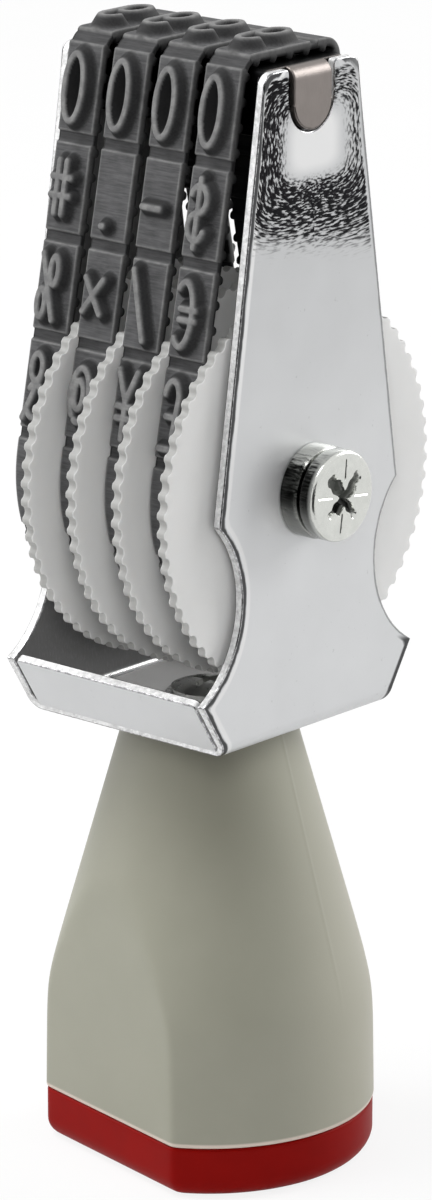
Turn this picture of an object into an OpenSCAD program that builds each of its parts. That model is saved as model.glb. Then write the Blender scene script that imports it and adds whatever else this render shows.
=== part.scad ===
// Hand number stamp standing on its handle, print side up.
// Rubber type bands run round thumb wheels at the bottom and a steel bridge at the top.
// The frame stands centred on the handle, X runs along the axle, -Y is the front.

/* [Frame] */
// Width over the two side plates
frame_w = 28; // [26.5:0.5:34]
// Thickness of the frame's sheet steel
sheet_t = 1; // [0.8:0.1:1.4]
// Height of the side plates above the tray's underside
plate_h = 71.8; // [68:0.2:80]
// Half depth of a side plate at its top edge
plate_top_half = 7.35; // [6.6:0.05:9]
// Half depth of a side plate at the tray
plate_foot_half = 12.95; // [12:0.05:14]
// Half depth of the frame at the tips of its lips
lip_half = 16.95; // [16:0.05:18]
// Height of the lips above the tray's underside
lip_h = 6.4; // [5.5:0.1:7.5]
// Half depth of a side plate just above the finger cut-out
shoulder_half = 14.35; // [13.6:0.05:15.4]
// Height of that shoulder above the tray's underside
shoulder_h = 25.2; // [24:0.1:28]
// Radius of the finger cut-out in a plate's edge
finger_r = 11.8; // [11:0.1:14]
// Radius on a side plate's top corners
plate_corner_r = 1.5; // [0.8:0.1:2.5]
// Outer radius of the folds between the tray and the side plates
fold_r = 1.7; // [1.5:0.1:2.5]
// Slit between a lip and a side plate
lip_slit = 0.3; // [0.2:0.1:0.8]

/* [Handle] */
// Height of the red end cap below the joint
cap_h = 5.8; // [4:0.1:8]
// Height of the grey handle between the cap and the tray
handle_h = 44.2; // [38:0.1:60]
// Radius of the handle at its end
handle_r = 18; // [16:0.1:20]
// Radius of the handle's neck under the tray
neck_r = 8.9; // [7.5:0.1:11]
// Height of the handle's straight stretch above the cap
handle_straight = 12.8; // [10:0.1:18]
// Draft of that stretch, the loss in radius over its height
handle_draft = 0.2; // [0:0.05:0.5]
// Radius of the blend from the straight stretch to the cone
knee_r = 25; // [10:1:40]
// Distance from the handle's axis to its flats
flat_dist = 13.9; // [12.6:0.1:16]
// Turn of the flats about the handle's axis
flat_turn = -11.5; // [-45:0.5:45]
// Radius on the cap's bottom edge
cap_edge_r = 2.2; // [1:0.1:3]
// Radius of the plug that holds the cap in the handle
cap_plug_r = 10.5; // [8:0.1:11]
// Height of that plug above the joint
cap_plug_h = 5; // [3:0.5:8]

/* [Handle fastening] */
// Outside radius of the threaded insert in the handle
insert_r = 4; // [3.6:0.1:5]
// Length of the threaded insert
insert_l = 14; // [10:0.5:20]
// Head radius of the handle screw
handle_head_r = 4.2; // [4:0.1:5]
// Head height of the handle screw
handle_head_h = 1.5; // [1.2:0.1:2.2]
// Length of the handle screw below its head
handle_screw_l = 13; // [10:0.5:18]
// Outside radius of the washer under that head
washer_r = 4.8; // [4.6:0.1:6]
// Thickness of that washer
washer_t = 0.5; // [0.4:0.1:0.8]

/* [Axle] */
// Height of the axle above the tray's underside
axle_h = 26.6; // [26.2:0.1:28]
// Outside radius of the axle tube that the wheels turn on
tube_r = 4.5; // [4:0.1:6]
// Thread radius of the axle screws and the handle screw
thread_r = 2.5; // [2:0.1:3]
// Length of an axle screw's thread inside the tube
axle_grip = 9; // [6:0.5:11]
// Outside radius of the collar under an axle screw
collar_r = 5; // [4.5:0.1:6]
// Thickness of that collar
collar_t = 2.4; // [1.5:0.1:3.5]
// Radius of an axle screw's head
head_r = 4.9; // [4.4:0.1:6]
// Height of an axle screw's head
head_h = 2.3; // [1.8:0.1:3]
// Outside radius of the washers beside the wheels
end_washer_r = 8; // [6.5:0.1:10]
// Thickness of those washers
end_washer_t = 0.3; // [0.2:0.05:0.4]

/* [Wheels and bands] */
// Outside radius of a thumb wheel
wheel_r = 21.3; // [20.8:0.1:21.8]
// Thickness of a thumb wheel's disc
disc_t = 1.1; // [0.9:0.05:1.2]
// Teeth round a thumb wheel's rim
teeth = 66; // [48:2:72]
// Radius of the cut between two rim teeth
tooth_cut_r = 0.75; // [0.5:0.05:0.8]
// Depth of the cut between two rim teeth
tooth_depth = 0.6; // [0.4:0.05:0.7]
// Radius of the drum that drives a band
drum_r = 15; // [14.5:0.1:15.5]
// Depth of the drum's flutes
flute_depth = 0.5; // [0.3:0.05:0.8]
// Thickness of a band's web
web_t = 0.5; // [0.4:0.05:0.8]
// Height of the type blocks above the web
block_h = 0.4; // [0.3:0.05:0.6]
// Height of the type above its block
type_h = 1.3; // [0.9:0.1:1.7]
// Height of the drive ribs on a band's inside
rib_h = 0.5; // [0.4:0.05:0.6]
// Width of the groove between two type blocks
groove_w = 1; // [0.6:0.1:1.6]
// How far the bands are rolled on from the middle of the print position
band_roll = 1.6; // [-3:0.1:3]
// Height of a character
glyph_h = 7.7; // [6.5:0.1:8]
// Width of a character
glyph_w = 3.1; // [2.6:0.1:3.6]
// Width of a character's strokes
stroke = 0.6; // [0.5:0.05:0.9]

/* [Bridge] */
// Half depth of the bridge that the bands run over
bridge_half = 6.4; // [6:0.1:6.8]
// Depth of the bridge's folded flanges
bridge_leg = 7; // [5:0.5:9]
// Thickness of the bridge's sheet steel
bridge_t = 0.9; // [0.7:0.1:1.2]
// Outer radius of the bridge's edges
bridge_edge_r = 0.75; // [0.5:0.05:1]
// Height of the bridge above the plates' top edges
bridge_rise = 0.1; // [0.1:0.1:0.6]
// Width of the tab that holds the bridge in a plate
tab_w = 5.9; // [5:0.1:7]
// Length of the tab below the bridge's top
tab_l = 7; // [6:0.1:9]
// Room beside the tab in the plate's notch
tab_room = 0.65; // [0.3:0.05:1]
// How far the tab stands out of the plate
tab_proud = 0.25; // [0.1:0.05:0.5]

/* [Clearances] */
// Radial running clearance of a wheel on the axle tube
run_gap = 0.05; // [0.02:0.01:0.1]
// Radial clearance of screws, insert and cap plug in their holes
fit_gap = 0.05; // [0.03:0.01:0.1]
// Gap between a band and the discs beside it
side_gap = 0.15; // [0.12:0.01:0.25]
// Axial gap at the end of each wheel
wheel_gap = 0.2; // [0.15:0.01:0.3]
// Gap between a band's ribs and the drum
drum_gap = 0.26; // [0.2:0.02:0.4]
// Gap between parts that lie on each other and do not move
seat_gap = 0.1; // [0.05:0.01:0.2]

/* [Hidden] */
$fn = 96;

steel = [0.80, 0.81, 0.82];
dark_steel = [0.62, 0.60, 0.59];
grip_grey = [0.62, 0.62, 0.57];
cap_red = [0.62, 0.11, 0.10];
brass = [0.74, 0.62, 0.34];
white = [0.90, 0.90, 0.90];
rubber = [0.26, 0.26, 0.27];

// A cut runs past the faces it opens by this much
past = 1;
// A band's straight stretches stand this far outside its round ones
join = 0.01;
inner_half = frame_w / 2 - sheet_t;
tray_z = cap_h + handle_h;
floor_z = tray_z + sheet_t;
axle_z = tray_z + axle_h;
plate_top_z = tray_z + plate_h;
bridge_top_z = plate_top_z + bridge_rise;

// The wheels share the room between the end washers
bands = 4;
pitch = 2 * (inner_half - end_washer_t) / bands;
first_x = -inner_half + end_washer_t;
disc_from = pitch - wheel_gap - disc_t;
band_from = -wheel_gap + side_gap;
band_w = disc_from - side_gap - band_from;

// A band's inside follows the drum and the bridge's two edges
loop_drum_r = drum_r + drum_gap + rib_h;
loop_edge_r = bridge_edge_r + seat_gap + rib_h;
edge_y = bridge_half - bridge_edge_r;
edge_z = bridge_top_z - bridge_edge_r;
edge_rise = edge_z - axle_z;
slant = atan2(edge_rise, edge_y) - acos((loop_drum_r - loop_edge_r) / norm([edge_y, edge_rise]));
run_l = sqrt(edge_y ^ 2 + edge_rise ^ 2 - (loop_drum_r - loop_edge_r) ^ 2);

// Lengths along the middle of the web, from the top centre down one side
mid_edge_r = loop_edge_r + web_t / 2;
mid_drum_r = loop_drum_r + web_t / 2;
at_edge = edge_y;
at_run = at_edge + mid_edge_r * (90 - slant) * PI / 180;
at_drum = at_run + run_l;
half_loop = at_drum + mid_drum_r * (90 + slant) * PI / 180;
cells = 15;
cell = 2 * half_loop / cells;
ribs_per_cell = 4;
flutes = round(2 * PI * mid_drum_r * ribs_per_cell / cell);

// A unit vector at an angle
function along(a) = [cos(a), sin(a)];

// Direction of a band's outside at a length along it, on the front side
function front_turn(s) =
    s < at_edge ? 90
    : s < at_run ? 90 + (s - at_edge) / mid_edge_r * 180 / PI
    : s < at_drum ? 180 - slant
    : 180 - slant + (s - at_drum) / mid_drum_r * 180 / PI;

// Place of a band's web middle at a length along it, on the front side
function front_place(s) =
    s < at_edge ? [-s, edge_z + mid_edge_r]
    : s < at_run ? [-edge_y, edge_z] + mid_edge_r * along(front_turn(s))
    : s < at_drum ? [-edge_y, edge_z] + mid_edge_r * along(180 - slant)
        + (s - at_run) * along(270 - slant)
    : [0, axle_z] + mid_drum_r * along(front_turn(s));

// The same for either side: positive lengths run down the front, negative down the back
function band_turn(s) = s < 0 ? 180 - front_turn(-s) : front_turn(s);
function band_place(s) = s < 0
    ? [-front_place(-s)[0], front_place(-s)[1]]
    : front_place(s);

// A length along the loop, wrapped to the nearer side
function wrapped(s) = s > half_loop ? s - 2 * half_loop : s < -half_loop ? s + 2 * half_loop : s;

// Length along the loop of a cell counted from the print position
function cell_at(k) = wrapped(k * cell + band_roll);

// Moves a flat drawing of depth and height into the plane across the axle
module across(length, x = 0) {
    translate([x, 0, 0])
        rotate([90, 0, 90])
            linear_extrude(length)
                children();
}

// A round bar along the axle from one place to another
module bar(r, from, to) {
    translate([from, 0, axle_z])
        rotate([0, 90, 0])
            cylinder(r = r, h = to - from);
}

// Points of a rounded corner between two straight edges
function corner_points(p, from, to, r, steps = 6) =
    let (
        u = (from - p) / norm(from - p),
        v = (to - p) / norm(to - p),
        half = acos(u * v) / 2,
        mid = (u + v) / norm(u + v),
        centre = p + mid * r / sin(half),
        start = p + u * r / tan(half) - centre,
        finish = p + v * r / tan(half) - centre,
        a = atan2(start[1], start[0]),
        turn = atan2(start[0] * finish[1] - start[1] * finish[0], start * finish)
    )
    [for (i = [0 : steps]) centre + r * along(a + turn * i / steps)];

// Centre of the finger cut-out, through the lip's tip and the shoulder
function finger_centre() =
    let (
        a = [lip_half, lip_h],
        b = [shoulder_half, shoulder_h],
        chord = norm(b - a),
        out = [b[1] - a[1], a[0] - b[0]] / chord
    )
    (a + b) / 2 + out * sqrt(finger_r ^ 2 - chord ^ 2 / 4);

// Outline of a side plate, with the tray's underside at height nought
module plate_outline() {
    top = [plate_top_half, plate_h];
    shoulder = [shoulder_half, shoulder_h];
    side = concat(
        [[plate_foot_half, 0], [lip_half, lip_h], shoulder],
        corner_points(top, shoulder, [-plate_top_half, plate_h], plate_corner_r)
    );
    back = [for (i = [len(side) - 1 : -1 : 0]) [-side[i][0], side[i][1]]];
    difference() {
        polygon(concat(side, back));
        for (way = [-1, 1])
            translate([way * finger_centre()[0], finger_centre()[1]])
                circle(finger_r);
    }
}

// Section of the folded tray and plates, across the axle
module tray_section() {
    inner_fold = fold_r - sheet_t;
    difference() {
        rounded_trough(frame_w / 2, 0, fold_r);
        rounded_trough(inner_half, sheet_t, inner_fold);
    }
}

// A tall block whose two bottom corners are rounded
module rounded_trough(half, from, r) {
    top = plate_h + past + from;
    translate([-half, from + r])
        square([2 * half, top - from - r]);
    translate([-half + r, from])
        square([2 * (half - r), 2 * r]);
    for (way = [-1, 1])
        translate([way * (half - r), from + r])
            circle(r);
}

// Section of a lip, its outside flush with the plates' slanted edges
module lip_section() {
    lean = atan2(lip_h, lip_half - plate_foot_half);
    in = [-sin(lean), cos(lean)] * sheet_t;
    inner_foot = plate_foot_half + sheet_t / tan(lean) - sheet_t / sin(lean);
    polygon([
        [plate_foot_half, 0],
        [lip_half, lip_h],
        [lip_half, lip_h] + in,
        [inner_foot, sheet_t],
        [inner_foot, 0]
    ]);
}

// Notch in a plate's top that the bridge's tab hangs in
module tab_notch() {
    r = tab_w / 2 + tab_room;
    low = plate_h + bridge_rise - tab_l - seat_gap;
    translate([0, low + r])
        circle(r);
    translate([-r, low + r])
        square([2 * r, tab_l + past]);
}

// Pressed steel frame: tray, two side plates and two lips, with holes for the axle and the handle
module frame() {
    lip_l = 2 * (inner_half - lip_slit);
    color(steel)
        difference() {
            union() {
                translate([0, 0, tray_z])
                    intersection() {
                        rotate([90, 0, 0])
                            linear_extrude(2 * lip_half + 2 * past, center = true)
                                tray_section();
                        across(frame_w + 2 * past, -frame_w / 2 - past)
                            plate_outline();
                    }
                for (turn = [0, 180])
                    rotate(turn)
                        translate([0, 0, tray_z])
                            across(lip_l, -lip_l / 2)
                                lip_section();
            }
            translate([0, 0, tray_z])
                across(frame_w + 2 * past, -frame_w / 2 - past)
                    tab_notch();
            bar(thread_r + fit_gap, -frame_w / 2 - past, frame_w / 2 + past);
            translate([0, 0, tray_z - past])
                cylinder(r = thread_r + fit_gap, h = sheet_t + 2 * past);
        }
}

// Two slabs that cut the flats on the front and back of the handle
module grip_flats() {
    rotate(flat_turn)
        for (turn = [0, 180])
            rotate(turn)
                translate([-handle_r - past, flat_dist, -past])
                    cube([2 * (handle_r + past), handle_r, tray_z]);
}

// Half section of the grey handle: straight, blended into a cone up to the neck
module handle_section() {
    knee = [handle_r - handle_draft, cap_h + handle_straight];
    foot = [handle_r, cap_h];
    neck = [neck_r, tray_z];
    polygon(concat(
        [[0, cap_h], foot],
        corner_points(knee, foot, neck, knee_r),
        [neck, [0, tray_z]]
    ));
}

// Grey moulded handle with a pocket for the cap's plug and a hole for the threaded insert
module handle_body() {
    color(grip_grey)
        difference() {
            rotate_extrude()
                handle_section();
            grip_flats();
            translate([0, 0, cap_h - past])
                cylinder(r = cap_plug_r + fit_gap, h = cap_plug_h + seat_gap + past);
            translate([0, 0, tray_z - insert_l - seat_gap])
                cylinder(r = insert_r + fit_gap, h = insert_l + seat_gap + past);
        }
}

// Red end cap that the stamp stands on, with the plug that holds it in the handle
module handle_cap() {
    color(cap_red)
        union() {
            difference() {
                rotate_extrude() {
                    square([handle_r - cap_edge_r, cap_h]);
                    translate([0, cap_edge_r])
                        square([handle_r, cap_h - cap_edge_r]);
                    translate([handle_r - cap_edge_r, cap_edge_r])
                        circle(cap_edge_r);
                }
                grip_flats();
            }
            translate([0, 0, cap_h - past])
                cylinder(r = cap_plug_r, h = cap_plug_h + past);
        }
}

// Threaded insert moulded into the handle's neck
module handle_insert() {
    color(brass)
        translate([0, 0, tray_z - insert_l])
            difference() {
                cylinder(r = insert_r, h = insert_l);
                translate([0, 0, -past])
                    cylinder(r = thread_r, h = insert_l + 2 * past);
            }
}

// Pan head with a cross recess, its seat at height nought
module pan_head(r, h) {
    slot_l = 1.1 * r;
    slot_w = 0.24 * r;
    slot_deep = 0.55 * h;
    dome_r = (r ^ 2 + (0.55 * h) ^ 2) / (1.1 * h);
    difference() {
        intersection() {
            cylinder(r = r, h = h);
            translate([0, 0, h - dome_r])
                sphere(dome_r);
        }
        for (turn = [0, 90])
            rotate(turn)
                translate([-slot_l / 2, -slot_w / 2, h - slot_deep])
                    cube([slot_l, slot_w, h]);
    }
}

// Screw up through the tray's floor that holds the frame on the handle
module handle_screw() {
    seat = floor_z + washer_t;
    color(steel)
        translate([0, 0, seat])
            union() {
                pan_head(handle_head_r, handle_head_h);
                translate([0, 0, -handle_screw_l])
                    cylinder(r = thread_r - fit_gap, h = handle_screw_l + handle_head_h / 4);
            }
}

// Plain washer under the handle screw's head
module handle_washer() {
    color(steel)
        translate([0, 0, floor_z])
            difference() {
                cylinder(r = washer_r, h = washer_t);
                translate([0, 0, -past])
                    cylinder(r = thread_r + fit_gap, h = washer_t + 2 * past);
            }
}

// Tube between the plates that the wheels turn on, threaded for the axle screws
module axle_tube() {
    color(steel)
        difference() {
            bar(tube_r, -inner_half, inner_half);
            bar(thread_r, -inner_half - past, inner_half + past);
        }
}

// Pan-head screw through a plate into the axle tube, on the +X side
module axle_screw() {
    seat = frame_w / 2 + collar_t;
    color(steel)
        union() {
            translate([seat, 0, axle_z])
                rotate([0, 90, 0])
                    pan_head(head_r, head_h);
            bar(thread_r - fit_gap, inner_half - axle_grip, seat + head_h / 4);
        }
}

// Turned collar between a plate and its axle screw's head, on the +X side
module axle_collar() {
    color(steel)
        difference() {
            bar(collar_r, frame_w / 2, frame_w / 2 + collar_t);
            bar(thread_r + fit_gap, frame_w / 2 - past, frame_w / 2 + collar_t + past);
        }
}

// Thin washer between a plate and the wheels, on the +X side
module end_washer() {
    color(dark_steel)
        difference() {
            bar(end_washer_r, inner_half - end_washer_t, inner_half);
            bar(tube_r + fit_gap, inner_half - end_washer_t - past, inner_half + past);
        }
}

// Section of the bridge: a flat top with two flanges folded down
module bridge_section() {
    low = bridge_top_z - bridge_leg;
    difference() {
        union() {
            translate([-bridge_half, low])
                square([2 * bridge_half, bridge_leg - bridge_edge_r]);
            translate([-edge_y, low])
                square([2 * edge_y, bridge_leg]);
            for (way = [-1, 1])
                translate([way * edge_y, edge_z])
                    circle(bridge_edge_r);
        }
        translate([-bridge_half + bridge_t, low - past])
            square([2 * (bridge_half - bridge_t), bridge_leg - bridge_t + past]);
    }
}

// Outline of a tab with its round lower end
module tab_outline() {
    r = tab_w / 2;
    low = bridge_top_z - tab_l;
    translate([0, low + r])
        circle(r);
    translate([-r, low + r])
        square([tab_w, tab_l - r]);
}

// Folded steel bridge under the bands, with a bare tab at each end that hangs in a plate's notch
module bridge() {
    body_half = inner_half - seat_gap;
    tab_out = frame_w / 2 + tab_proud;
    color(dark_steel)
        union() {
            across(2 * body_half, -body_half)
                bridge_section();
            for (turn = [0, 180])
                rotate(turn) {
                    translate([body_half - past, -tab_w / 2, bridge_top_z - bridge_t])
                        cube([tab_out - body_half + past, tab_w, bridge_t]);
                    across(bridge_t, tab_out - bridge_t)
                        tab_outline();
                }
        }
}

// Outline of a thumb wheel's serrated disc
module disc_outline() {
    difference() {
        circle(wheel_r);
        for (i = [0 : teeth - 1])
            rotate((i + 0.5) * 360 / teeth)
                translate([wheel_r - tooth_depth + tooth_cut_r, 0])
                    circle(tooth_cut_r, $fn = 24);
    }
}

// Outline of the fluted drum that drives a band
module drum_outline() {
    flute_r = 2 * flute_depth;
    difference() {
        circle(drum_r);
        for (i = [0 : flutes - 1])
            rotate(i * 360 / flutes)
                translate([drum_r - flute_depth + flute_r, 0])
                    circle(flute_r, $fn = 24);
    }
}

// White thumb wheel: serrated disc and fluted drum in one moulding, running on the axle tube
module thumb_wheel(i) {
    from = first_x + i * pitch;
    color(white)
        difference() {
            translate([0, 0, axle_z])
                union() {
                    across(disc_t, from + disc_from)
                        disc_outline();
                    across(disc_from - wheel_gap + disc_t / 2, from + wheel_gap)
                        drum_outline();
                }
            bar(tube_r + run_gap, from - past, from + pitch + past);
        }
}

// The filled shape inside a band's path, moved outwards by a distance
module loop_shape(out) {
    straight = out + join;
    drum_touch = [0, axle_z] + (loop_drum_r + straight) * along(180 - slant);
    edge_touch = [-edge_y, edge_z] + (loop_edge_r + straight) * along(180 - slant);
    edge_top = [-edge_y, edge_z + loop_edge_r + straight];
    front = [drum_touch, edge_touch, edge_top];
    back = [for (i = [2 : -1 : 0]) [-front[i][0], front[i][1]]];
    polygon(concat(front, back));
    translate([0, axle_z])
        circle(loop_drum_r + out);
    for (way = [-1, 1])
        translate([way * edge_y, edge_z])
            circle(loop_edge_r + out);
}

// Side view of a band: web, type blocks with grooves between, and drive ribs inside
module band_outline() {
    difference() {
        loop_shape(web_t + block_h);
        loop_shape(0);
        for (k = [0 : cells - 1]) {
            s = wrapped(cell_at(k) + cell / 2);
            translate(band_place(s))
                rotate(band_turn(s))
                    translate([web_t / 2, -groove_w / 2])
                        square([block_h + past, groove_w]);
        }
    }
    for (k = [0 : cells - 1], j = [0 : ribs_per_cell - 1]) {
        s = wrapped(cell_at(k) + (j + 0.5) * cell / ribs_per_cell - cell / 2);
        translate(band_place(s))
            rotate(band_turn(s))
                translate([-web_t / 2, 0])
                    circle(rib_h, $fn = 24);
    }
}

// Reach of the stroke centres from the middle of a character
glyph_reach = [glyph_w - stroke, glyph_h - stroke] / 2;
// Height of the centres of a tall character's end bows, in halves of its height
bow = 1 - glyph_reach[0] / glyph_reach[1];
// Height of the centres of two bows that meet in the middle
mid_bow = glyph_reach[0] / glyph_reach[1];

// Strokes of each character as it prints, with places in halves of its width and height.
// Three numbers are a bow: its centre's height, start angle and end angle.
// Four numbers are a straight stroke from one point to another.
characters = [
    ["0", [[bow, 0, 180], [-bow, 180, 360], [-1, -bow, -1, bow], [1, -bow, 1, bow]]],
    ["1", [[0.2, -1, 0.2, 1], [0.2, 1, -0.7, 0.72]]],
    ["2", [[bow, -20, 180], [0.92, bow - 0.1, -1, -1], [-1, -1, 1, -1]]],
    ["3", [[bow, -60, 160], [-bow, -160, 60], [-0.1, 0, 0.6, 0.1], [-0.1, 0, 0.6, -0.1]]],
    ["4", [[0.5, -1, 0.5, 1], [0.5, 1, -1, -0.4], [-1, -0.4, 1, -0.4]]],
    ["5", [[-0.9, 1, 1, 1], [-0.9, 1, -0.9, 0.1], [-0.9, 0.1, 1, -0.1], [1, -bow, 1, -0.1], [-bow, -150, 0]]],
    ["6", [[bow, 20, 180], [-bow, 180, 360], [-1, -bow, -1, bow], [1, -bow, 1, -0.1], [-1, 0.1, 1, -0.1]]],
    ["7", [[-1, 1, 1, 1], [1, 1, -0.3, -1]]],
    ["8", [[mid_bow + 0.02, 0, 360], [-mid_bow - 0.02, 0, 360], [-0.3, 0, 0.3, 0]]],
    ["9", [[bow, 0, 180], [-bow, 200, 360], [1, -bow, 1, bow], [-1, bow, -1, 0.1], [1, -0.1, -1, 0.1]]],
    ["hash", [[-0.4, -0.8, -0.4, 0.8], [0.4, -0.8, 0.4, 0.8], [-1, 0.3, 1, 0.3], [-1, -0.3, 1, -0.3]]],
    ["point", [[-0.1, -0.9, 0.1, -0.9]]],
    ["dash", [[-0.9, 0, 0.9, 0]]],
    ["slash", [[-0.9, -0.95, 0.9, 0.95]]],
    ["blank", []],
    ["cross", [[-0.9, -0.6, 0.9, 0.6], [-0.9, 0.6, 0.9, -0.6]]],
    ["percent", [[-0.9, -0.9, 0.9, 0.9], [-0.8, 0.6, -0.6, 0.6], [0.6, -0.6, 0.8, -0.6]]],
    ["dollar", [[mid_bow, 20, 270], [-mid_bow, -160, 90], [0, -1, 0, 1]]],
    ["pound", [[bow, 10, 180], [-1, bow, -0.6, -1], [-1, -1, 1, -1], [-1, 0, 0.5, 0]]],
    ["euro", [[bow, 30, 180], [-bow, 180, 330], [-1, -bow, -1, bow],
        [-1, 0.15, 0.4, 0.15], [-1, -0.15, 0.4, -0.15]]],
    ["yen", [[-0.9, 1, 0, 0.1], [0.9, 1, 0, 0.1], [0, 0.1, 0, -1],
        [-0.8, -0.1, 0.8, -0.1], [-0.8, -0.45, 0.8, -0.45]]],
    ["and", [[mid_bow, 0, 360], [-mid_bow, 60, 330], [-0.5, 0.1, 1, -1]]],
    ["at", [[bow, 0, 180], [-bow, 180, 360], [-1, -bow, -1, bow], [1, 0, 1, bow],
        [-0.2, 0.3, -0.2, -0.3], [-0.2, -0.3, 1, -0.3]]]
];

// Straight stroke between two points, squared off past both
module straight_stroke(from, to) {
    across_to = to - from;
    translate((from + to) / 2)
        rotate(atan2(across_to[1], across_to[0]))
            square([norm(across_to) + stroke, stroke], center = true);
}

// Bow round a point on the character's middle line
module bow_stroke(height, from, to) {
    reach = 2 * glyph_reach[0] + stroke;
    steps = ceil((to - from) / 60);
    translate([0, height])
        intersection() {
            difference() {
                circle(glyph_reach[0] + stroke / 2);
                circle(glyph_reach[0] - stroke / 2);
            }
            polygon(concat(
                [[0, 0]],
                [for (i = [0 : steps]) reach * along(from + (to - from) * i / steps)]
            ));
        }
}

// One character, drawn as it prints
module glyph(name) {
    strokes = [for (entry = characters) if (entry[0] == name) entry[1]][0];
    for (part = strokes) {
        if (len(part) == 3)
            bow_stroke(part[0] * glyph_reach[1], part[1], part[2]);
        else
            straight_stroke(
                [part[0] * glyph_reach[0], part[1] * glyph_reach[1]],
                [part[2] * glyph_reach[0], part[3] * glyph_reach[1]]
            );
    }
}

// What each band carries from the print position down the front and up the back
signs = [
    ["hash", "percent", "and"],
    ["point", "cross", "at"],
    ["dash", "slash", "yen"],
    ["dollar", "euro", "pound"]
];
function band_text(i) = concat(
    ["9", "0"], signs[i], ["blank"], [for (digit = [1 : 8]) str(digit)], ["blank"]
);

// Rubber type band: its outline across the axle and a mirrored character on every block
module type_band(i) {
    from = first_x + i * pitch + band_from;
    sunk = 0.9 * block_h;
    face = web_t / 2 + block_h;
    text_of = band_text(i);
    color(rubber)
        union() {
            across(band_w, from)
                band_outline();
            for (k = [0 : cells - 1]) {
                s = cell_at(k);
                place = band_place(s) + (face - sunk) * along(band_turn(s));
                translate([from + band_w / 2, place[0], place[1]])
                    rotate([band_turn(s) - 90, 0, 0])
                        linear_extrude(sunk + type_h)
                            mirror([1, 0])
                                glyph(text_of[k]);
            }
        }
}

// A piece of the +X side repeated on the -X side
module left_side() {
    rotate(180)
        children();
}

frame();
handle_body();
handle_cap();
handle_insert();
handle_screw();
handle_washer();
axle_tube();
left_side() axle_screw();  // axle_screw_left
axle_screw();  // axle_screw_right
left_side() axle_collar();  // axle_collar_left
axle_collar();  // axle_collar_right
left_side() end_washer();  // end_washer_left
end_washer();  // end_washer_right
bridge();
for (i = [0 : bands - 1]) {
    thumb_wheel(i);
    type_band(i);
}
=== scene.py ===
import bmesh
import bpy
import numpy as np
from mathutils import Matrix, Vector


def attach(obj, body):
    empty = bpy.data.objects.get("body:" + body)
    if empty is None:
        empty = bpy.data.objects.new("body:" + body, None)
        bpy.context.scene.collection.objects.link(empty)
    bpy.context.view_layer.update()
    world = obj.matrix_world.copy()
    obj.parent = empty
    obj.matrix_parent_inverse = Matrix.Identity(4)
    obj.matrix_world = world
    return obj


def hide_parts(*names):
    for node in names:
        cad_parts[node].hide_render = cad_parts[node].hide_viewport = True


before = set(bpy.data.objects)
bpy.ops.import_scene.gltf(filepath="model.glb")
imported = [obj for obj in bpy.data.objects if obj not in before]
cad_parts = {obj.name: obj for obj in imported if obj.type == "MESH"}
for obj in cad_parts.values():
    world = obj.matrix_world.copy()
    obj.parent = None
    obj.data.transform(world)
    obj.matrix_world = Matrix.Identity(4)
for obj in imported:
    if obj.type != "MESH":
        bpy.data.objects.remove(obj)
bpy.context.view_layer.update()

# Handle: a grey moulded grip, round with a flat at the front and one at the back.
# It tapers to a neck under the frame, and its two mould halves meet in a faint line on each side.
mm = 0.001
tray_z = 50.0
joint_z = 5.8
knee_z = 18.6
handle_r = 18.0
handle_draft = 0.2
neck_r = 8.9
flat_dist = 13.9
flat_turn = np.radians(-11.5)
knee_blend = 0.36
arris_blend = 0.16
seam_turn = np.radians(6.0)
seam_h = 0.05
seam_w = 0.22
seam_from_z = 18.0
seam_fade_h = 6.0
grip_edge_r = 0.4
neck_shade_from_z = 26.0
neck_shade_full_z = 49.0
foot_highlight_h = 0.65
foot_highlight_full_h = 0.4
grip_steps = 520


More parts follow.
